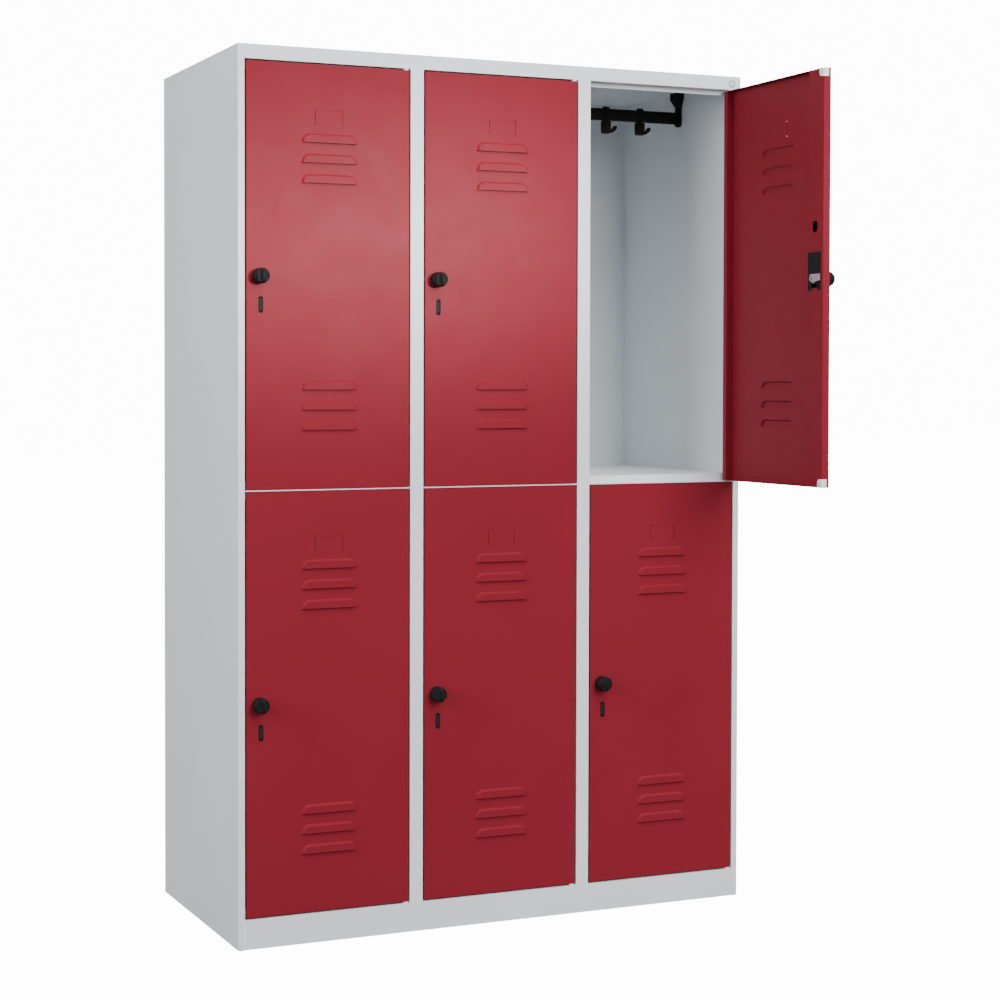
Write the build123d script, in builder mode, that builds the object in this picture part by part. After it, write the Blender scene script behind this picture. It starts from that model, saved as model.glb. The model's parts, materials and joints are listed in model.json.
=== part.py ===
from build123d import *
import os

# A steel cloakroom locker: three columns, each with two compartments behind flush doors that
# are hinged on their right.  Millimetres.  X runs to the right along the front, Y runs into the
# locker and Z runs up.  The origin is on the floor, under the middle of the locker.

os.makedirs("parts", exist_ok=True)

# ---------------------------------------------------------------- driving dimensions
WIDTH, DEPTH, HEIGHT = 1200.0, 500.0, 1850.0
SHEET = 1.0                      # thickness of every folded sheet
BEND = 1.5                       # outside radius of a fold
CUT = 1.0                        # how far a cut runs past the face it opens

# Front frame
SIDE_STRIP = 15.0                # front strip of a side wall
DIVIDER = 30.0                   # front strip of a partition
LINTEL = 30.0                    # front strip above the doors
PLINTH_TOP = 63.0                # lower edge of the door openings
JAMB_DEPTH = 17.0                # depth of the folded box behind each upright strip
REAR_FLANGE = 15.0
FOOT_FLANGE = 25.0               # inward fold along the bottom of a side wall
COLUMN_NAMES = ("left", "middle", "right")
OPENING = (WIDTH - 2 * SIDE_STRIP - (len(COLUMN_NAMES) - 1) * DIVIDER) / len(COLUMN_NAMES)

# Stops and floors behind the doors, measured from the front face
STOP_Y = 21.5
STOP_HEIGHT = 10.0
STOP_NOTCH = 18.0
TOP_NOTCH = 15.0                 # corner cut-out of the lintel's flange, on the lock side
SHELF_TOP = 958.5

# Door leaf
DOOR_GAP = 3.0                   # beside the leaf
DOOR_BASE_GAP = 4.0              # under the lower leaf
DOOR_TOP_GAP = 3.5               # above each leaf
DOOR_THICK = 18.0
DOOR_W = OPENING - 2 * DOOR_GAP
DOOR_H = (HEIGHT - LINTEL - PLINTH_TOP - DOOR_BASE_GAP - 2 * DOOR_TOP_GAP) / 2
LOWER_DOOR_Z = PLINTH_TOP + DOOR_BASE_GAP
UPPER_DOOR_Z = LOWER_DOOR_Z + DOOR_H + DOOR_TOP_GAP
LOCK_STILE = 51.0                # width of the box fold on the lock side
HINGE_STILE = 14.0               # width of the box fold on the hinge side
OPEN_DOOR = ("upper", "right")   # this door stands open
OPEN_ANGLE = 90.0

# Pivots
PIVOT_INSET = 6.0                # from the leaf's hinge edge and from its front face
PIN_R = 2.5
BUSH_R = 4.0
BUSH_FLANGE_R = 6.0
BUSH_LENGTH = 7.0
BUSH_RUNNING = 0.06              # radial clearance of the bush in the leaf
LEAF_PLAY = 0.3                  # between a bush's flange and the leaf
PIN_HEAD_R, PIN_HEAD_H = 4.0, 2.0
LIP_THICK = 2.0                  # shelf lip between the doors, which carries the pins

# Louvres and card holder
LOUVRE_W, LOUVRE_H, LOUVRE_RISE = 123.0, 18.6, 4.5
LOUVRE_BEVEL = 42.0              # degrees
LOUVRE_SILL = 1.2                # the skin reaches above the lip, behind it
LOUVRE_SPACING = 41.5
TOP_LOUVRE_DROP = 160.5          # leaf's top edge to the first louvre's lip
LOW_LOUVRE_RISE = 122.0          # leaf's bottom edge to the last louvre's lip
CARD_W, CARD_H, CARD_DROP = 62.4, 32.0, 92.0
CARD_HOOK = 10.8                 # a slit's grooves reach this far inwards
CARD_SLIT, CARD_GROOVE = 0.8, 0.7

# Lock
LOCK_X = 28.5                    # from the leaf's free edge
LOCK_Z = DOOR_H / 2
KNOB_R, KNOB_RISE, KNOB_BASE = 16.0, 29.0, 16.0
KNOB_TIP_R = 2.5                 # small flat at the middle of the dome
GRIP_W, GRIP_DEPTH, GRIP_SCOOP_R = 3.5, 6.5, 7.0
SPINDLE_R, SPINDLE_RUNNING = 4.0, 0.06
CAM_R, CAM_Y, CAM_THICK = 9.0, 8.3, 3.0
CASE_X, CASE_W = 8.5, 42.0
CASE_LOW, CASE_HIGH = -24.0, 56.0
CASE_RIM, CASE_LIP = 1.0, 1.0    # the cover plate's margin, and its thickness on the stile
RELIEF_X, RELIEF_LOW, RELIEF_HIGH, RELIEF_DEEP = (-11.0, 10.0), -18.0, -10.5, 9.0
NOTCH_H = 5.0
BOLT_X = 31.0                    # from the leaf's free edge
BOLT_STROKE = 16.0
BOLT_THICK, BOLT_ROUND = 3.0, 1.0
BOLT_PIN_X, BOLT_PIN_R = 36.0, 2.0
RIVET_R, RIVET_RISE = 4.0, 1.0
EYE_X, EYE_DROP = 31.5, 58.0     # from the leaf's free edge, and below the knob
EYE_SLOT_W, EYE_SLOT_H = 10.5, 34.5
EYE_W, EYE_H, EYE_LENGTH = 4.5, 28.0, 15.0
EYE_FRONT, EYE_ROUND, EYE_HOLE_R = 0.3, 4.0, 4.0
EYE_STROKE = 13.0
EYE_LINER_RISE = 0.4             # the slot's lining stands proud of the skin
GUIDE_FOOT, GUIDE_BACK = 2.0, 1.2
FIT = 0.35                       # clearance round sliding lock parts
KEEPER_X, KEEPER_RISE = 28.0, 109.0       # oval hole above the lock
KEEPER_W, KEEPER_H = 17.0, 24.0

# Corner buffers on the free edge
BUFFER_H, BUFFER_DROP, BUFFER_RISE = 16.0, 2.0, 3.0
BUFFER_FRONT, BUFFER_SIDE, BUFFER_WRAP = 6.5, 0.8, 12.0
BUFFER_ROUND, BUFFER_CORNER = 1.2, 7.0
PLUG_R, PLUG_RISE = 4.0, 0.4     # the button that holds a buffer

# Coat rail and hooks
RAIL_H, RAIL_W, RAIL_WALL = 28.0, 15.0, 1.2
RAIL_DROP = 60.5                 # ceiling to rail centre
BRACKET_FOOT_W, BRACKET_FOOT_D = 14.0, 38.0    # at the ceiling
BRACKET_LEG_W, BRACKET_LEG_D, BRACKET_H = 5.0, 22.0, 80.0
BRACKET_SHOULDER, BRACKET_NECK = 15.0, 34.0    # ceiling to the taper's two ends
CUP_W, CUP_WALL = 10.0, 2.5      # the socket round the rail's end
RAIL_END = 4.0                   # rail end to wall
HOOK_SPACING = 91.0
HOOK_RING_W, HOOK_BODY_W, HOOK_BODY_D = 11.0, 20.0, 12.0
HOOK_LOW, HOOK_CHAMFER = -44.0, 3.0
RING_FIT, RING_WALL_SIDE, RING_WALL_TOP = 0.35, 3.6, 4.5
PRONG_THICK, PRONG_D, PRONG_R = 7.4, 8.0, 24.0
PRONG_ROOT, PRONG_TIP = (4.0, -40.0), (24.0, -29.0)

# Feet and badge
GLIDE_R, GLIDE_RISE, GLIDE_STEM_R, GLIDE_STEM = 6.5, 1.5, 3.0, 9.0
GLIDE_INSET = 8.5
BADGE_R, BADGE_THICK, BADGE_INSET, BADGE_DROP = 8.0, 1.2, 23.5, 16.5

# ---------------------------------------------------------------- derived positions
LEFT, FRONT, BACK = -WIDTH / 2, -DEPTH / 2, DEPTH / 2
CEILING = HEIGHT - SHEET
OPENING_TOP = HEIGHT - LINTEL
COLUMN_PITCH = OPENING + DIVIDER
OPENING_X = [LEFT + SIDE_STRIP + i * COLUMN_PITCH for i in range(len(COLUMN_NAMES))]
PARTITION_X = [x - DIVIDER / 2 for x in OPENING_X[1:]]
LEFT_FACES = [LEFT + SHEET] + [x + SHEET / 2 for x in PARTITION_X]
RIGHT_FACES = [x - SHEET / 2 for x in PARTITION_X] + [-LEFT - SHEET]
COLUMN_X = [(a + b) / 2 for a, b in zip(LEFT_FACES, RIGHT_FACES)]
COLUMN_HALF = COLUMN_X[0] - LEFT_FACES[0]
PIVOT_X = [x + DOOR_GAP + DOOR_W - PIVOT_INSET for x in OPENING_X]
PIVOT_Y = FRONT + PIVOT_INSET
ROWS = {"upper": (UPPER_DOOR_Z, CEILING), "lower": (LOWER_DOOR_Z, SHELF_TOP - SHEET)}
LIP_Z = LOWER_DOOR_Z + DOOR_H + (DOOR_TOP_GAP - LIP_THICK) / 2
FLOOR = PLINTH_TOP + STOP_HEIGHT


# ---------------------------------------------------------------- helpers
def wall(x, y):
    """One leg of a folded section: a rectangle from its low and high x and y."""
    with Locations(((x[0] + x[1]) / 2, (y[0] + y[1]) / 2)):
        Rectangle(x[1] - x[0], y[1] - y[0])


def block(x, y, z, mode=Mode.ADD):
    """A box from its low and high x, y and z."""
    with Locations(((x[0] + x[1]) / 2, (y[0] + y[1]) / 2, (z[0] + z[1]) / 2)):
        Box(x[1] - x[0], y[1] - y[0], z[1] - z[0], mode=mode)


def rod(x, y, z, radius, mode=Mode.ADD):
    """An upright cylinder at x, y from the low to the high z."""
    with Locations((x, y, (z[0] + z[1]) / 2)):
        Cylinder(radius, z[1] - z[0], mode=mode)


def round_corners(sketch, spots, radius):
    """Rounds the section's vertices that lie at the given points."""
    for x, y in spots:
        corner = sketch.vertices().sort_by_distance(Vector(x, y, 0))[0]
        fillet(corner, radius)


def save(piece, node):
    piece.label = node
    export_step(piece, f"parts/{node}.step")


# ---------------------------------------------------------------- side walls
def side_wall(outer, inward):
    """A side wall at x = outer, folded towards inward (1 or -1)."""
    def span(near, far):
        return tuple(sorted((outer + inward * near, outer + inward * far)))

    jamb_end = FRONT + JAMB_DEPTH
    with BuildPart() as side:
        with BuildSketch(Plane.XY.offset(GLIDE_RISE)) as section:
            wall(span(0, SHEET), (FRONT, BACK))
            wall(span(0, SIDE_STRIP), (FRONT, FRONT + SHEET))
            wall(span(SIDE_STRIP - SHEET, SIDE_STRIP), (FRONT, jamb_end))
            wall(span(0, SIDE_STRIP), (jamb_end - SHEET, jamb_end))
            wall(span(0, REAR_FLANGE), (BACK - SHEET, BACK))
            edge = outer + inward * SIDE_STRIP
            round_corners(section, [(outer, FRONT), (outer, BACK), (edge, FRONT)], BEND)
        extrude(amount=CEILING - GLIDE_RISE)
        floor_z = (GLIDE_RISE, GLIDE_RISE + SHEET)
        block(span(0, FOOT_FLANGE), (jamb_end, BACK - SHEET), floor_z)
        block(span(0, SIDE_STRIP), (FRONT + SHEET, jamb_end), floor_z)
        for y in (FRONT + GLIDE_INSET, BACK - GLIDE_INSET):
            rod(outer + inward * GLIDE_INSET, y, floor_z, GLIDE_STEM_R, Mode.SUBTRACT)
    return side.part


save(side_wall(LEFT, 1), "left_side")
save(side_wall(-LEFT, -1), "right_side")

# ---------------------------------------------------------------- partitions
for name, x in zip(("left", "right"), PARTITION_X):
    half = DIVIDER / 2
    jamb_end = FRONT + JAMB_DEPTH
    with BuildPart() as partition:
        with BuildSketch(Plane.XY.offset(PLINTH_TOP)) as section:
            wall((x - SHEET / 2, x + SHEET / 2), (FRONT, BACK - 2 * SHEET))
            wall((x - half, x + half), (FRONT, FRONT + SHEET))
            wall((x - half, x - half + SHEET), (FRONT, jamb_end))
            wall((x + half - SHEET, x + half), (FRONT, jamb_end))
            wall((x - half, x + half), (jamb_end - SHEET, jamb_end))
            round_corners(section, [(x - half, FRONT), (x + half, FRONT)], BEND / 2)
        extrude(amount=OPENING_TOP - PLINTH_TOP)
        # above the opening only the wall goes on up to the ceiling, behind the lintel
        block((x - SHEET / 2, x + SHEET / 2), (FRONT + STOP_Y + SHEET, BACK - 2 * SHEET),
              (OPENING_TOP, CEILING))
        # the wall stands on the raised floor
        block((x - half, x + half), (FRONT + STOP_Y, BACK), (PLINTH_TOP, FLOOR), Mode.SUBTRACT)
    save(partition.part, f"{name}_partition")

# ---------------------------------------------------------------- back, top, base, plinth
with BuildPart() as back_panel:
    block((LEFT + SHEET, -LEFT - SHEET), (BACK - 2 * SHEET, BACK - SHEET),
          (GLIDE_RISE + SHEET, CEILING))
save(back_panel.part, "back_panel")

front_x = (LEFT + SIDE_STRIP, -LEFT - SIDE_STRIP)
with BuildPart() as top_panel:
    with BuildSketch(Plane.XY.offset(CEILING)):
        RectangleRounded(WIDTH, DEPTH, BEND)
    extrude(amount=SHEET)
    block(front_x, (FRONT, FRONT + SHEET), (OPENING_TOP, CEILING))
    block(front_x, (FRONT, FRONT + STOP_Y + SHEET), (OPENING_TOP, OPENING_TOP + SHEET))
    for x in OPENING_X:
        block((x, x + OPENING - STOP_NOTCH), (FRONT + STOP_Y, FRONT + STOP_Y + SHEET),
              (OPENING_TOP - STOP_HEIGHT, OPENING_TOP))
        block((x, x + TOP_NOTCH), (FRONT + SHEET, FRONT + STOP_Y),
              (OPENING_TOP, OPENING_TOP + SHEET), Mode.SUBTRACT)
    for x in PIVOT_X:
        rod(x, PIVOT_Y, (OPENING_TOP, OPENING_TOP + SHEET), PIN_R, Mode.SUBTRACT)
    front_top = top_panel.edges().filter_by(Axis.X).filter_by_position(Axis.Z, HEIGHT, HEIGHT)
    fillet(front_top.sort_by(Axis.Y)[0], BEND / 2)
save(top_panel.part, "top_panel")

with BuildPart() as base_panel:
    stop = FRONT + STOP_Y
    block((LEFT + SHEET, -LEFT - SHEET), (stop, BACK - 2 * SHEET), (FLOOR - SHEET, FLOOR))
    block(front_x, (stop, stop + SHEET), (PLINTH_TOP - SHEET, FLOOR))
    block(front_x, (FRONT, stop + SHEET), (PLINTH_TOP - SHEET, PLINTH_TOP))
    for x in OPENING_X:
        for corner in (x, x + OPENING - STOP_NOTCH):
            block((corner, corner + STOP_NOTCH), (stop, stop + SHEET),
                  (PLINTH_TOP, FLOOR - SHEET), Mode.SUBTRACT)
    for x in PIVOT_X:
        rod(x, PIVOT_Y, (PLINTH_TOP - SHEET, PLINTH_TOP), PIN_R, Mode.SUBTRACT)
save(base_panel.part, "base_panel")

with BuildPart() as plinth:
    block(front_x, (FRONT, FRONT + SHEET), (GLIDE_RISE, PLINTH_TOP - SHEET))
    foot_x = (LEFT + FOOT_FLANGE, -LEFT - FOOT_FLANGE)
    block(foot_x, (FRONT, FRONT + SIDE_STRIP), (GLIDE_RISE, GLIDE_RISE + SHEET))
save(plinth.part, "plinth")

# ---------------------------------------------------------------- shelves between the rows
with BuildPart() as mid_shelves:
    stop = FRONT + STOP_Y
    for i, x in enumerate(COLUMN_X):
        walls = (LEFT_FACES[i], RIGHT_FACES[i])
        block(walls, (stop, BACK - 2 * SHEET), (SHELF_TOP - SHEET, SHELF_TOP))
        block(walls, (stop, stop + SHEET), (LIP_Z, SHELF_TOP))
        lip = (OPENING_X[i], OPENING_X[i] + OPENING)
        block(lip, (FRONT, stop), (LIP_Z, LIP_Z + LIP_THICK))
        rod(PIVOT_X[i], PIVOT_Y, (LIP_Z, LIP_Z + LIP_THICK), PIN_R, Mode.SUBTRACT)
save(mid_shelves.part, "mid_shelves")

# ---------------------------------------------------------------- pivots
# Each pivot plane: the z where the bush's flange rests on the frame, the way it points into the
# leaf (1 up, -1 down) and the gap between the frame and the leaf.
PIVOTS = [
    (OPENING_TOP, -1, DOOR_TOP_GAP),
    (LIP_Z + LIP_THICK, 1, (DOOR_TOP_GAP - LIP_THICK) / 2),
    (LIP_Z, -1, (DOOR_TOP_GAP - LIP_THICK) / 2),
    (PLINTH_TOP, 1, DOOR_BASE_GAP),
]
PIN_REACH = BUSH_LENGTH + DOOR_BASE_GAP
TOP_HEAD_Z = OPENING_TOP + SHEET
LOW_HEAD_Z = PLINTH_TOP - SHEET
with BuildPart() as pivot_pins:
    for x in PIVOT_X:
        rod(x, PIVOT_Y, (OPENING_TOP - PIN_REACH, TOP_HEAD_Z), PIN_R)
        rod(x, PIVOT_Y, (TOP_HEAD_Z, TOP_HEAD_Z + PIN_HEAD_H), PIN_HEAD_R)
        rod(x, PIVOT_Y, (LIP_Z - PIN_REACH, LIP_Z + LIP_THICK + PIN_REACH), PIN_R)
        rod(x, PIVOT_Y, (LOW_HEAD_Z, PLINTH_TOP + PIN_REACH), PIN_R)
        rod(x, PIVOT_Y, (LOW_HEAD_Z - PIN_HEAD_H, LOW_HEAD_Z), PIN_HEAD_R)
save(pivot_pins.part, "pivot_pins")

with BuildPart() as pivot_bushes:
    for x in PIVOT_X:
        for seat, way, gap in PIVOTS:
            flange = sorted((seat, seat + way * (gap - LEAF_PLAY)))
            sleeve = sorted((seat, seat + way * (gap + BUSH_LENGTH)))
            rod(x, PIVOT_Y, flange, BUSH_FLANGE_R)
            rod(x, PIVOT_Y, sleeve, BUSH_R)
            rod(x, PIVOT_Y, sleeve, PIN_R, Mode.SUBTRACT)
save(pivot_bushes.part, "pivot_bushes")


# ---------------------------------------------------------------- door leaf
# A door's pieces are made once, in the leaf's own frame: the origin is the lower front corner
# at the free edge, X runs to the hinge edge and Y runs into the locker.
def louvre_face(inset):
    """A louvre seen from the front, open downwards: flat top, quarter-round shoulders."""
    radius = LOUVRE_H - inset
    half = LOUVRE_W / 2 - inset
    with BuildSketch() as face:
        with BuildLine():
            Line((-half + radius, radius), (half - radius, radius))
            CenterArc((half - radius, 0), radius, 0, 90)
            Polyline((half, 0), (half, -LOUVRE_H), (-half, -LOUVRE_H), (-half, 0))
            CenterArc((-half + radius, 0), radius, 90, 90)
        make_face()
    return face.sketch


CASE_BODY_X = (CASE_X + CASE_RIM, CASE_X + CASE_W - 2 * CASE_RIM)
CASE_BODY_Z = (LOCK_Z + CASE_LOW + NOTCH_H, LOCK_Z + CASE_HIGH - CASE_RIM)
TOP_LIP = DOOR_H - TOP_LOUVRE_DROP
LIPS = [TOP_LIP - i * LOUVRE_SPACING for i in range(3)]
LIPS += [LOW_LOUVRE_RISE + i * LOUVRE_SPACING for i in range(3)]
LOUVRE_SPOTS = [(DOOR_W / 2, z) for z in LIPS]
LOUVRE_SHELL, LOUVRE_HOLLOW = louvre_face(0), louvre_face(SHEET)

with BuildPart() as louvre_shells:
    with BuildSketch(Plane.XZ):
        with Locations(*LOUVRE_SPOTS):
            add(LOUVRE_SHELL)
    extrude(amount=LOUVRE_RISE, taper=LOUVRE_BEVEL)

with BuildPart() as louvre_hollows:
    with BuildSketch(Plane.XZ.offset(-SHEET)):
        with Locations(*LOUVRE_SPOTS):
            add(LOUVRE_HOLLOW)
    extrude(amount=LOUVRE_RISE, taper=LOUVRE_BEVEL)

with BuildPart() as door_panel:
    with BuildSketch() as section:
        wall((0, DOOR_W), (0, SHEET))
        wall((0, SHEET), (0, DOOR_THICK))
        wall((0, LOCK_STILE), (DOOR_THICK - SHEET, DOOR_THICK))
        wall((LOCK_STILE - SHEET, LOCK_STILE), (0, DOOR_THICK))
        wall((DOOR_W - SHEET, DOOR_W), (0, DOOR_THICK))
        wall((DOOR_W - HINGE_STILE, DOOR_W), (DOOR_THICK - SHEET, DOOR_THICK))
        wall((DOOR_W - HINGE_STILE, DOOR_W - HINGE_STILE + SHEET), (0, DOOR_THICK))
        folds = [(x, y) for x in (0, DOOR_W) for y in (0, DOOR_THICK)]
        round_corners(section, folds, BEND)
    extrude(amount=DOOR_H)
    for z in (0, DOOR_H - SHEET):
        with BuildSketch(Plane.XY.offset(z)):
            with Locations((DOOR_W / 2, DOOR_THICK / 2)):
                RectangleRounded(DOOR_W, DOOR_THICK, BEND)
        extrude(amount=SHEET)
    add(louvre_shells.part)
    add(louvre_hollows.part, mode=Mode.SUBTRACT)
    for x, z in LOUVRE_SPOTS:
        # open the louvre at its lip, and put back the skin up to its sill
        under = (x - LOUVRE_W / 2 - CUT, x + LOUVRE_W / 2 + CUT)
        block(under, (-LOUVRE_RISE - CUT, 0), (z - LOUVRE_H - CUT, z), Mode.SUBTRACT)
        block(under, (0, SHEET), (z - LOUVRE_H - CUT, z + LOUVRE_SILL))
    # card holder: two upright slits, grooves at their ends, and a shallow step between them
    card_top = DOOR_H - CARD_DROP
    card_low = card_top - CARD_H
    groove = (0, CARD_GROOVE)
    for side in (-1, 1):
        outer = DOOR_W / 2 + side * CARD_W / 2
        upright = sorted((outer, outer - side * CARD_SLIT))
        arm = sorted((outer, outer - side * CARD_HOOK))
        block(upright, (0, SHEET), (card_low, card_top), Mode.SUBTRACT)
        block(arm, groove, (card_low, card_low + CARD_SLIT), Mode.SUBTRACT)
        block(arm, groove, (card_top - CARD_SLIT, card_top), Mode.SUBTRACT)
    ledge = CARD_W / 2 - CARD_HOOK
    block((DOOR_W / 2 - ledge, DOOR_W / 2 + ledge), (-SHEET / 2, 0),
          (card_top - 3 * SHEET, card_top - SHEET))
    # holes for the lock, in the skin and in the stile
    with BuildSketch(Plane.XZ):
        with Locations((LOCK_X, LOCK_Z)):
            Circle(SPINDLE_R + SHEET)
        with Locations((EYE_X, LOCK_Z - EYE_DROP)):
            SlotOverall(EYE_SLOT_H, EYE_SLOT_W, rotation=90)
    extrude(amount=-SHEET, mode=Mode.SUBTRACT)
    block(CASE_BODY_X, (DOOR_THICK - SHEET, DOOR_THICK), CASE_BODY_Z, Mode.SUBTRACT)
    with BuildSketch(Plane.XZ.offset(-DOOR_THICK)):
        with Locations((KEEPER_X, LOCK_Z + KEEPER_RISE)):
            SlotOverall(KEEPER_H, KEEPER_W, rotation=90)
    extrude(amount=SHEET, mode=Mode.SUBTRACT)
    # pivot holes in the top and bottom edges
    rod(DOOR_W - PIVOT_INSET, PIVOT_INSET, (0, DOOR_H), BUSH_R + BUSH_RUNNING, Mode.SUBTRACT)

# ---------------------------------------------------------------- lock
cover_back = DOOR_THICK + CASE_LIP
eye_z = LOCK_Z - EYE_DROP
relief_x = (LOCK_X + RELIEF_X[0], LOCK_X + RELIEF_X[1])
with BuildPart() as lock_case:
    block(CASE_BODY_X, (SHEET, DOOR_THICK), CASE_BODY_Z)
    block((CASE_X, CASE_X + CASE_W), (DOOR_THICK, cover_back),
          (LOCK_Z + CASE_LOW, LOCK_Z + CASE_HIGH))
    # guide for the padlock eye, hidden in the stile below the case
    block((EYE_X - EYE_SLOT_W, EYE_X + EYE_SLOT_W), (SHEET, DOOR_THICK - SHEET),
          (eye_z - EYE_SLOT_H / 2 - GUIDE_FOOT, CASE_BODY_Z[0]))
    with BuildSketch(Plane.XZ.offset(-SHEET)):
        with Locations((EYE_X, eye_z)):
            SlotOverall(EYE_SLOT_H, EYE_SLOT_W, rotation=90)
    extrude(amount=SHEET + EYE_LINER_RISE)
    block((EYE_X - EYE_W / 2 - FIT, EYE_X + EYE_W / 2 + FIT), (-CUT, DOOR_THICK - GUIDE_BACK),
          (eye_z - EYE_H / 2 - FIT, eye_z + EYE_H / 2 + FIT), Mode.SUBTRACT)
    # spindle bore, cam pocket and the slot for the bolt's pin
    with BuildSketch(Plane.XZ.offset(-SHEET)):
        with Locations((LOCK_X, LOCK_Z)):
            Circle(SPINDLE_R + SPINDLE_RUNNING)
    extrude(amount=-(CAM_Y - SHEET), mode=Mode.SUBTRACT)
    with BuildSketch(Plane.XZ.offset(-(CAM_Y - FIT))):
        with Locations((LOCK_X, LOCK_Z)):
            Circle(CAM_R + 2 * FIT)
    extrude(amount=-(CAM_THICK + 3 * FIT), mode=Mode.SUBTRACT)
    pin_room = BOLT_PIN_R + FIT
    block((BOLT_PIN_X - BOLT_STROKE - pin_room, BOLT_PIN_X + pin_room),
          (CAM_Y + CAM_THICK, cover_back), (LOCK_Z - pin_room, LOCK_Z + pin_room), Mode.SUBTRACT)
    # relief and notch under the bolt
    block(relief_x, (DOOR_THICK - RELIEF_DEEP, cover_back),
          (LOCK_Z + RELIEF_LOW, LOCK_Z + RELIEF_HIGH), Mode.SUBTRACT)
    block(relief_x, (DOOR_THICK, cover_back),
          (LOCK_Z + CASE_LOW, LOCK_Z + CASE_LOW + NOTCH_H), Mode.SUBTRACT)

with BuildPart() as knob:
    knob_plane = Plane(origin=(LOCK_X, 0, LOCK_Z), x_dir=(1, 0, 0), z_dir=(0, 0, 1))
    knob_axis = Axis((LOCK_X, 0, LOCK_Z), (0, 1, 0))
    with BuildSketch(knob_plane):
        with BuildLine():
            Line((0, -KNOB_RISE), (KNOB_TIP_R, -KNOB_RISE))
            EllipticalCenterArc((KNOB_TIP_R, -KNOB_BASE), KNOB_R - KNOB_TIP_R,
                                KNOB_RISE - KNOB_BASE, 270, arc_size=90)
            Polyline((KNOB_R, -KNOB_BASE), (KNOB_R, -FIT), (SPINDLE_R, -FIT), (SPINDLE_R, CAM_Y),
                     (CAM_R, CAM_Y), (CAM_R, CAM_Y + CAM_THICK), (0, CAM_Y + CAM_THICK),
                     (0, -KNOB_RISE))
        make_face()
    revolve(axis=knob_axis)
    for side in (-1, 1):
        scoop_x = LOCK_X + side * (GRIP_W / 2 + GRIP_SCOOP_R)
        with Locations((scoop_x, -KNOB_RISE + GRIP_DEPTH - GRIP_SCOOP_R, LOCK_Z)):
            Cylinder(GRIP_SCOOP_R, 3 * KNOB_R, mode=Mode.SUBTRACT)

# The bolt's outline about its middle at the knob's height; its square end points to the
# leaf's free edge.
BOLT_OUTLINE = [(-23.5, 10), (7, 10), (10, 0), (5, -6), (-3, -9.5), (-10, -6), (-23.5, -4)]
bolt_y = cover_back + FIT
pin_end = CAM_Y + CAM_THICK + 3 * FIT
with BuildPart() as bolt:
    with BuildSketch(Plane.XZ.offset(-bolt_y)):
        with Locations((BOLT_X, LOCK_Z)):
            Polygon(*BOLT_OUTLINE, align=None)
        fillet(vertices(), BOLT_ROUND)
    extrude(amount=-BOLT_THICK)
    with BuildSketch(Plane.XZ.offset(-pin_end)):
        with Locations((BOLT_PIN_X, LOCK_Z)):
            Circle(BOLT_PIN_R)
    extrude(amount=-(bolt_y + BOLT_THICK / 2 - pin_end))
    with BuildSketch(Plane.XZ.offset(-bolt_y - BOLT_THICK)):
        with Locations((BOLT_PIN_X, LOCK_Z)):
            Circle(RIVET_R)
    extrude(amount=-RIVET_RISE)

with BuildPart() as padlock_eye:
    block((EYE_X - EYE_W / 2, EYE_X + EYE_W / 2), (EYE_FRONT, EYE_FRONT + EYE_LENGTH),
          (eye_z - EYE_H / 2, eye_z + EYE_H / 2))
    fillet(padlock_eye.edges().filter_by(Axis.X).group_by(Axis.Y)[0], EYE_ROUND)
    with Locations((EYE_X, EYE_FRONT + EYE_STROKE / 2, eye_z)):
        Cylinder(EYE_HOLE_R, 2 * EYE_W, rotation=(0, 90, 0), mode=Mode.SUBTRACT)

with BuildPart() as buffers:
    for z, inner in ((BUFFER_DROP, 1), (DOOR_H - BUFFER_DROP - BUFFER_H, -1)):
        middle = z + BUFFER_H / 2
        block((-BUFFER_SIDE, 0), (BUFFER_FRONT, DOOR_THICK + BUFFER_RISE), (z, z + BUFFER_H))
        with BuildSketch(Plane.XZ.offset(-DOOR_THICK)) as pad:
            wall((0, BUFFER_WRAP), (z, z + BUFFER_H))
            round_corners(pad, [(BUFFER_WRAP, middle + inner * BUFFER_H / 2)], BUFFER_CORNER)
        extrude(amount=-BUFFER_RISE)
        with BuildSketch(Plane.XZ.offset(-DOOR_THICK - BUFFER_RISE)):
            with Locations((BUFFER_WRAP / 2, middle)):
                Circle(PLUG_R)
        extrude(amount=-PLUG_RISE)
    corner = buffers.edges().filter_by(Axis.Z).group_by(Axis.X)[0].group_by(Axis.Y)[-1]
    fillet(corner, BUFFER_ROUND)

DOOR_PIECES = {
    "door_panel": door_panel,
    "lock_case": lock_case,
    "knob": knob,
    "bolt": bolt,
    "padlock_eye": padlock_eye,
    "buffers": buffers,
}
PIVOT_IN_LEAF = Location((DOOR_W - PIVOT_INSET, PIVOT_INSET, 0))
for row, (door_z, _) in ROWS.items():
    for column, pivot_x in zip(COLUMN_NAMES, PIVOT_X):
        angle = OPEN_ANGLE if (row, column) == OPEN_DOOR else 0
        place = Location((pivot_x, PIVOT_Y, door_z), (0, 0, angle)) * PIVOT_IN_LEAF.inverse()
        for piece, builder in DOOR_PIECES.items():
            save(builder.part.moved(place), f"{row}_{column}_{piece}")


# ---------------------------------------------------------------- coat rails
def oval(height, width):
    """An upright oval with straight sides."""
    SlotOverall(height, width, rotation=90)


def rail_spots():
    return [(x, 0, ceiling - RAIL_DROP) for _, ceiling in ROWS.values() for x in COLUMN_X]


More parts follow.
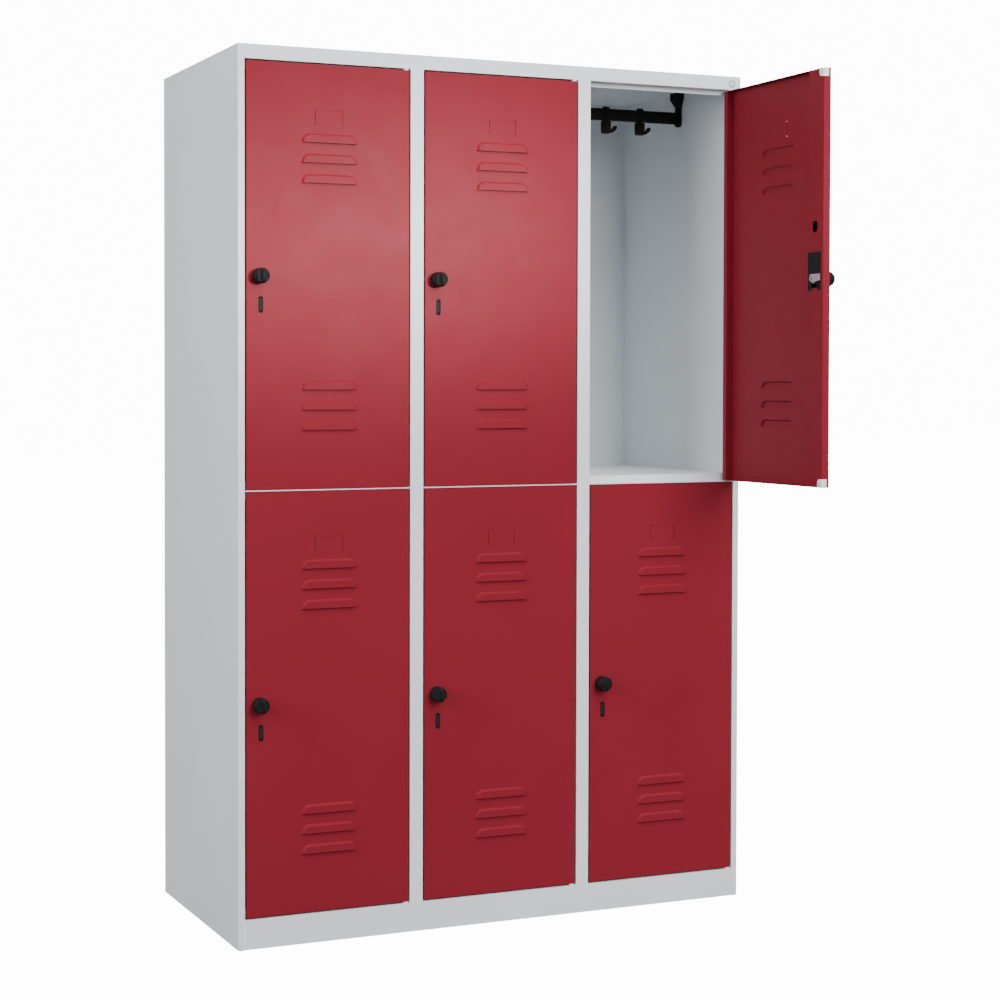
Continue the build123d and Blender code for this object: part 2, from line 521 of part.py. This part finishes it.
RAIL_HALF = COLUMN_HALF - RAIL_END
with BuildPart() as coat_rails:
    for x, y, z in rail_spots():
        with BuildSketch(Plane(origin=(x - RAIL_HALF, y, z), x_dir=(0, 1, 0), z_dir=(1, 0, 0))):
            oval(RAIL_H, RAIL_W)
            SlotOverall(RAIL_H - 2 * RAIL_WALL, RAIL_W - 2 * RAIL_WALL, rotation=90,
                        mode=Mode.SUBTRACT)
        extrude(amount=2 * RAIL_HALF)
save(coat_rails.part, "coat_rails")

# One bracket, for a wall at x = 0 on its right and the rail's axis at z = 0.
FOOT_TOP, LEG_BOTTOM = RAIL_DROP, RAIL_DROP - BRACKET_H
with BuildPart() as bracket:
    with BuildSketch(Plane.XZ.offset(-BRACKET_FOOT_D / 2)):
        with BuildLine():
            Polyline(
                (0, FOOT_TOP),
                (-BRACKET_FOOT_W, FOOT_TOP),
                (-BRACKET_FOOT_W, FOOT_TOP - BRACKET_SHOULDER),
                (-BRACKET_LEG_W, FOOT_TOP - BRACKET_NECK),
                (-BRACKET_LEG_W, LEG_BOTTOM),
                (0, LEG_BOTTOM),
                close=True,
            )
        make_face()
    extrude(amount=BRACKET_FOOT_D)
    with BuildSketch(Plane.YZ.offset(-BRACKET_FOOT_W)) as side_view:
        with BuildLine():
            Polyline(
                (-BRACKET_FOOT_D / 2, FOOT_TOP),
                (-BRACKET_FOOT_D / 2, FOOT_TOP - BRACKET_SHOULDER),
                (-BRACKET_LEG_D / 2, FOOT_TOP - BRACKET_NECK),
                (-BRACKET_LEG_D / 2, LEG_BOTTOM),
                (BRACKET_LEG_D / 2, LEG_BOTTOM),
                (BRACKET_LEG_D / 2, FOOT_TOP - BRACKET_NECK),
                (BRACKET_FOOT_D / 2, FOOT_TOP - BRACKET_SHOULDER),
                (BRACKET_FOOT_D / 2, FOOT_TOP),
                close=True,
            )
        make_face()
        fillet(side_view.vertices().group_by(Axis.Y)[0], BRACKET_LEG_D / 3)
    extrude(amount=BRACKET_FOOT_W, mode=Mode.INTERSECT)
    with BuildSketch(Plane.YZ.offset(-CUP_W)):
        oval(RAIL_H + 2 * CUP_WALL, RAIL_W + 2 * CUP_WALL)
    extrude(amount=CUP_W)
    with BuildSketch(Plane.YZ.offset(-CUP_W)):
        oval(RAIL_H, RAIL_W)
    extrude(amount=CUP_W - RAIL_END, mode=Mode.SUBTRACT)

MIRRORED = bracket.part.mirror(Plane.YZ)
with BuildPart() as rail_brackets:
    for x, y, z in rail_spots():
        add(bracket.part.moved(Location((x + COLUMN_HALF, y, z))))
        add(MIRRORED.moved(Location((x - COLUMN_HALF, y, z))))
save(rail_brackets.part, "rail_brackets")


# ---------------------------------------------------------------- coat hooks
SECTION = Plane(origin=(0, 0, 0), x_dir=(0, 1, 0), z_dir=(1, 0, 0))
RING_UNDER = -RAIL_H / 2 - RING_FIT - SHEET
with BuildPart() as coat_hook:
    # ring round the rail
    with BuildSketch(SECTION):
        Ellipse(RAIL_W / 2 + RING_FIT + RING_WALL_SIDE, RAIL_H / 2 + RING_FIT + RING_WALL_TOP)
        SlotOverall(RAIL_H + 2 * RING_FIT, RAIL_W + 2 * RING_FIT, rotation=90, mode=Mode.SUBTRACT)
    extrude(amount=HOOK_RING_W / 2, both=True)
    # body under the ring, and a finger that curls up beside it
    with BuildSketch(Plane.XZ.offset(-HOOK_BODY_D / 2)):
        with BuildLine():
            Polyline(
                (-HOOK_BODY_W / 2, RING_UNDER),
                (-HOOK_BODY_W / 2, HOOK_LOW + HOOK_CHAMFER),
                (-HOOK_BODY_W / 2 + HOOK_CHAMFER, HOOK_LOW),
                (HOOK_BODY_W / 2 - HOOK_CHAMFER, HOOK_LOW),
                (HOOK_BODY_W / 2, HOOK_LOW + HOOK_CHAMFER),
                (HOOK_BODY_W / 2, RING_UNDER),
                close=True,
            )
        make_face()
    extrude(amount=HOOK_BODY_D)
    with BuildSketch(Plane.XZ.offset(-PRONG_D / 2)):
        with BuildLine():
            RadiusArc(PRONG_ROOT, PRONG_TIP, -PRONG_R)
            offset(amount=PRONG_THICK / 2)
        make_face()
    extrude(amount=PRONG_D)

HOOK_NAMES = ("left", "middle", "right")
for row, (_, ceiling) in ROWS.items():
    for column, x in zip(COLUMN_NAMES, COLUMN_X):
        spots = [Location((x + (i - 1) * HOOK_SPACING, 0, ceiling - RAIL_DROP)) for i in range(3)]
        if (row, column) == OPEN_DOOR:
            for name, spot in zip(HOOK_NAMES, spots):
                save(coat_hook.part.moved(spot), f"{row}_{column}_{name}_hook")
        else:
            with BuildPart() as hook_set:
                for spot in spots:
                    add(coat_hook.part.moved(spot))
            save(hook_set.part, f"{row}_{column}_hooks")

# ---------------------------------------------------------------- glides and badge
with BuildPart() as glides:
    for x in (LEFT + GLIDE_INSET, -LEFT - GLIDE_INSET):
        for y in (FRONT + GLIDE_INSET, BACK - GLIDE_INSET):
            rod(x, y, (0, GLIDE_RISE), GLIDE_R)
            rod(x, y, (GLIDE_RISE, GLIDE_STEM), GLIDE_STEM_R)
save(glides.part, "glides")

with BuildPart() as badge:
    with BuildSketch(Plane.XZ.offset(-FRONT)):
        with Locations((-LEFT - BADGE_INSET, HEIGHT - BADGE_DROP)):
            Circle(BADGE_R)
    extrude(amount=BADGE_THICK)
save(badge.part, "badge")
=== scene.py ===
import json
import math

import bpy
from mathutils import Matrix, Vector


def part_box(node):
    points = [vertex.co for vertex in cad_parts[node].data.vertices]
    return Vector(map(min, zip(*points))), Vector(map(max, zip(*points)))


# The looks of a steel cloakroom locker: powder-coated red doors in a light grey body, black
# plastic locks, rail and hooks, white bushes and buffers.  Metres, in the frame of the CAD model:
# the origin is on the floor under the middle of the body, X to the right, Y into the locker.

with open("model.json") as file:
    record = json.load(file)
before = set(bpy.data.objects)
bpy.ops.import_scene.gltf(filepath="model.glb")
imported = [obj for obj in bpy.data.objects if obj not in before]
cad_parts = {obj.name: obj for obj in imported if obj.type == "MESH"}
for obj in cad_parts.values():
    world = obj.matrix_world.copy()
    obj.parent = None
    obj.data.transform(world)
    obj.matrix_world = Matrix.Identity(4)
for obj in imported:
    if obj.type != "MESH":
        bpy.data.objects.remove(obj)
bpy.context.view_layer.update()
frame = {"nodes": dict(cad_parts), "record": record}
MM = 0.001

# ---------------------------------------------------------------- colours and finishes
RED = (0.198, 0.0135, 0.0235)
GREY = (0.70, 0.735, 0.76)
BLACK = (0.012, 0.0125, 0.0125)
WHITE = (0.80, 0.80, 0.78)
STEEL = (0.62, 0.58, 0.58)
DARK_STEEL = (0.030, 0.022, 0.022)
BADGE = tuple(0.9 * c for c in GREY)

SHARP = math.radians(30)         # folds sharper than this stay crisp
PATCH, CLOUD = 350 * MM, 80 * MM     # how large the coat's drifts of tone and of gloss are
PEEL, PEEL_RISE = 1.6 * MM, 0.012 * MM
COAT_GLOSS = 0.13
SPECK, SMEAR = 12 * MM, 6 * MM       # the same for plastic
GRAIN, GRAIN_RISE = 0.35 * MM, 0.02 * MM
STAIN, SCRATCH, SCRATCH_RISE = 4 * MM, 0.25 * MM, 0.01 * MM
SCRATCH_STRETCH = (1.0, 1.0, 40.0)
METAL_GLOSS = 0.1
BRUSH, BRUSH_RISE = 1.0 * MM, 0.01 * MM
BADGE_GLOSS = 0.2
# the badge's fine dark ring is painted shade, standing in for the shadow in a stamped groove
RING_R, RING_WIDTH, PAINTED_GROOVE_SHADE = 7.1 * MM, 1.4 * MM, 0.05

# ---------------------------------------------------------------- studio
FLOOR_SIZE = 60.0
FLOOR_TONE = 0.9
BACKDROP = 13.0                  # the white the camera sees behind the locker
SKY = 0.42                       # the soft light's strength at the horizon
SKY_TINT = (0.97, 0.985, 1.0, 1.0)
WHITE_LIGHT = (1.0, 1.0, 1.0, 1.0)
POOL_SOFTNESS = 0.25             # radius of the lamp behind the pool of light
CAMERA_PLACE = (-1.9103, -3.9333, 1.1567)
CAMERA_TURN, CAMERA_TILT = math.radians(21.43), math.radians(1.32)
LENS = 69.32
SHIFT_X, SHIFT_Y = 0.20, -0.07
SIGHT = 200.0                    # how far the camera sees


# ---------------------------------------------------------------- shader helpers
class Shader:
    """A material's node tree, with short ways to add and join nodes."""

    def __init__(self, name, roughness, metallic=0.0):
        self.material = bpy.data.materials.new(name)
        self.material.use_nodes = True
        self.tree = self.material.node_tree
        self.surface = self.tree.nodes["Principled BSDF"]
        self.surface.inputs["Roughness"].default_value = roughness
        self.surface.inputs["Metallic"].default_value = metallic
        self.place = self.add("ShaderNodeTexCoord").outputs["Object"]

    def add(self, kind, **settings):
        node = self.tree.nodes.new(kind)
        for key, value in settings.items():
            setattr(node, key, value)
        return node

    def join(self, output, target):
        self.tree.links.new(output, target)

    def noise(self, size, detail=2.0, stretch=(1.0, 1.0, 1.0)):
        """A noise from 0 to 1 whose features are about size metres, drawn out along an axis."""
        mapping = self.add("ShaderNodeMapping")
        mapping.inputs["Scale"].default_value = [1.0 / (size * s) for s in stretch]
        self.join(self.place, mapping.inputs["Vector"])
        noise = self.add("ShaderNodeTexNoise")
        noise.inputs["Scale"].default_value = 1.0
        noise.inputs["Detail"].default_value = detail
        self.join(mapping.outputs["Vector"], noise.inputs["Vector"])
        return noise.outputs["Fac"]

    def colour(self, factor, low, high, start=0.3, end=0.7):
        """Blends from the low to the high colour as the factor goes from start to end."""
        ramp = self.add("ShaderNodeValToRGB")
        ramp.color_ramp.elements[0].position = start
        ramp.color_ramp.elements[1].position = end
        ramp.color_ramp.elements[0].color = (*low, 1.0)
        ramp.color_ramp.elements[1].color = (*high, 1.0)
        self.join(factor, ramp.inputs["Fac"])
        self.join(ramp.outputs["Color"], self.surface.inputs["Base Color"])

    def roughness(self, factor, low, high, start=0.3, end=0.7):
        """Goes from the low to the high roughness as the factor goes from start to end."""
        spread = self.add("ShaderNodeMapRange")
        spread.inputs["From Min"].default_value = start
        spread.inputs["From Max"].default_value = end
        spread.inputs["To Min"].default_value = low
        spread.inputs["To Max"].default_value = high
        self.join(factor, spread.inputs["Value"])
        self.join(spread.outputs["Result"], self.surface.inputs["Roughness"])

    def gloss(self, level):
        """How strongly the surface reflects, face on."""
        self.surface.inputs["Specular IOR Level"].default_value = level

    def bump(self, factor, height):
        """Raises the surface by up to height metres where the factor is 1."""
        bump = self.add("ShaderNodeBump")
        bump.inputs["Distance"].default_value = height
        self.join(factor, bump.inputs["Height"])
        self.join(bump.outputs["Normal"], self.surface.inputs["Normal"])


def shade(colour, amount):
    """The colour made lighter (above 1) or darker (below 1)."""
    return tuple(min(1.0, c * amount) for c in colour)


# ---------------------------------------------------------------- materials
def powder_coat(name, colour, roughness):
    """Smooth powder coat: a fine orange-peel skin, and tone and gloss that drift a little."""
    paint = Shader(name, roughness)
    paint.gloss(COAT_GLOSS)
    paint.colour(paint.noise(PATCH), shade(colour, 0.97), shade(colour, 1.03))
    paint.roughness(paint.noise(CLOUD, detail=4.0), roughness - 0.03, roughness + 0.03)
    paint.bump(paint.noise(PEEL), PEEL_RISE)
    return paint.material


def moulded(name, colour, roughness, gloss):
    """Moulded plastic with a fine spark-eroded grain."""
    plastic = Shader(name, roughness)
    plastic.gloss(gloss)
    plastic.colour(plastic.noise(SPECK, detail=4.0), shade(colour, 0.85), shade(colour, 1.2))
    plastic.roughness(plastic.noise(SMEAR), roughness - 0.06, roughness + 0.08)
    plastic.bump(plastic.noise(GRAIN), GRAIN_RISE)
    return plastic.material


def plated(name, colour, roughness, metallic):
    """Zinc-plated or blackened steel with fine upright scratches."""
    metal = Shader(name, roughness, metallic)
    metal.gloss(METAL_GLOSS)
    scratches = metal.noise(SCRATCH, detail=3.0, stretch=SCRATCH_STRETCH)
    metal.colour(metal.noise(STAIN, detail=4.0), shade(colour, 0.85), shade(colour, 1.1))
    metal.roughness(scratches, roughness - 0.08, roughness + 0.1)
    metal.bump(scratches, SCRATCH_RISE)
    return metal.material


def badge(name, colour, roughness):
    """A plain disc of satin metal with a fine dark ring: painted shade that stands in for the
    shadow in a stamped groove.
    """
    plate = Shader(name, roughness)
    plate.gloss(BADGE_GLOSS)
    low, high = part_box("badge")
    spread = plate.add("ShaderNodeVectorMath", operation="DISTANCE")
    plate.join(plate.place, spread.inputs[0])
    spread.inputs[1].default_value = (low + high) / 2
    # a ring of painted shade where a stamped groove would lie in shadow
    ring = plate.add("ShaderNodeMath", operation="COMPARE")
    plate.join(spread.outputs["Value"], ring.inputs[0])
    ring.inputs[1].default_value = RING_R
    ring.inputs[2].default_value = RING_WIDTH / 2
    plate.colour(ring.outputs["Value"], colour, shade(colour, PAINTED_GROOVE_SHADE))
    plate.bump(plate.noise(BRUSH), BRUSH_RISE)
    return plate.material


MATERIALS = {
    "red_paint": powder_coat("red_powder_coat", RED, roughness=0.48),
    "grey_paint": powder_coat("grey_powder_coat", GREY, roughness=0.5),
    "black_plastic": moulded("black_plastic", BLACK, roughness=0.5, gloss=0.08),
    "white_plastic": moulded("white_plastic", WHITE, roughness=0.45, gloss=0.4),
    "zinc_steel": plated("zinc_steel", STEEL, roughness=0.38, metallic=1.0),
    "dark_steel": plated("dark_steel", DARK_STEEL, roughness=0.6, metallic=0.0),
    "badge_steel": badge("badge_steel", BADGE, roughness=0.4),
}

for part in frame["record"]["subparts"]:
    mesh = frame["nodes"][part["node"]].data
    mesh.materials.clear()
    mesh.materials.append(MATERIALS[part["material_slot"]])
    mesh.shade_smooth()
    mesh.set_sharp_from_angle(angle=SHARP)


# ---------------------------------------------------------------- floor, light, camera
def floor():
    """A plain pale floor that glows, so that it fades into the background."""
    bpy.ops.mesh.primitive_plane_add(size=FLOOR_SIZE)
    plane = bpy.context.object
    plane.name = "floor"
    paint = Shader("pale_floor", roughness=0.9)
    paint.surface.inputs["Base Color"].default_value = (FLOOR_TONE, FLOOR_TONE, FLOOR_TONE, 1.0)
    paint.surface.inputs["Emission Color"].default_value = WHITE_LIGHT
    paint.surface.inputs["Emission Strength"].default_value = BACKDROP
    plane.data.materials.append(paint.material)
    plane.visible_diffuse = False
    plane.visible_glossy = False
    plane.visible_shadow = False


def lamp(kind, name, place, aim, power):
    """A light of the given kind that faces the aim."""
    light = bpy.data.lights.new(name, kind)
    light.energy = power
    item = bpy.data.objects.new(name, light)
    item.location = place
    item.rotation_euler = (Vector(aim) - Vector(place)).to_track_quat("-Z", "Y").to_euler()
    bpy.context.scene.collection.objects.link(item)
    return item


def softbox(name, place, aim, size, power):
    """A square area light that leaves no highlights."""
    box = lamp("AREA", name, place, aim, power)
    box.visible_glossy = False
    box.data.shape = "SQUARE"
    box.data.size = size


def pool_of_light(name, place, aim, cone, widen, power):
    """A soft oval pool of light on the aim, cone degrees high and widen times as wide."""
    item = lamp("SPOT", name, place, aim, power)
    item.data.spot_size = math.radians(cone)
    item.data.spot_blend = 1.0
    item.data.shadow_soft_size = POOL_SOFTNESS
    item.scale.x = widen


def studio_world():
    """Soft light from all round, none from straight below and twice SKY from overhead; plain
    white where the camera looks past the locker."""
    world = bpy.data.worlds.new("studio")
    world.use_nodes = True
    bpy.context.scene.world = world
    tree = world.node_tree
    soft = tree.nodes["Background"]
    soft.inputs["Color"].default_value = SKY_TINT
    white = tree.nodes.new("ShaderNodeBackground")
    white.inputs["Color"].default_value = WHITE_LIGHT
    white.inputs["Strength"].default_value = BACKDROP
    path = tree.nodes.new("ShaderNodeLightPath")
    mix = tree.nodes.new("ShaderNodeMixShader")
    direction = tree.nodes.new("ShaderNodeTexCoord")
    split = tree.nodes.new("ShaderNodeSeparateXYZ")
    height = tree.nodes.new("ShaderNodeMapRange")
    height.inputs["From Min"].default_value = -1.0
    height.inputs["From Max"].default_value = 1.0
    height.inputs["To Min"].default_value = 0.0
    height.inputs["To Max"].default_value = 2 * SKY
    tree.links.new(direction.outputs["Generated"], split.inputs["Vector"])
    tree.links.new(split.outputs["Z"], height.inputs["Value"])
    tree.links.new(height.outputs["Result"], soft.inputs["Strength"])
    tree.links.new(path.outputs["Is Camera Ray"], mix.inputs["Fac"])
    tree.links.new(soft.outputs["Background"], mix.inputs[1])
    tree.links.new(white.outputs["Background"], mix.inputs[2])
    tree.links.new(mix.outputs["Shader"], tree.nodes["World Output"].inputs["Surface"])


def camera():
    """The camera, at the photograph's viewing angle."""
    data = bpy.data.cameras.new("camera")
    data.lens = LENS
    data.shift_x = SHIFT_X
    data.shift_y = SHIFT_Y
    data.clip_end = SIGHT
    view = bpy.data.objects.new("camera", data)
    view.location = CAMERA_PLACE
    view.rotation_euler = (math.pi / 2 - CAMERA_TILT, 0.0, -CAMERA_TURN)
    bpy.context.scene.collection.objects.link(view)
    bpy.context.scene.camera = view


floor()
studio_world()
pool_of_light("pool", place=(1.39, -4.25, 1.90), aim=(-0.33, -0.25, 1.46),
              cone=8.6, widen=2.8, power=980.0)
softbox("front", place=(1.5, -5.0, 3.0), aim=(0.0, -0.25, 1.0), size=2.5, power=280.0)
softbox("high", place=(0.5, -2.6, 4.6), aim=(0.0, -0.25, 1.2), size=2.0, power=105.0)
softbox("left", place=(-4.5, -1.5, 2.5), aim=(-0.6, 0.0, 1.0), size=2.5, power=182.0)
camera()
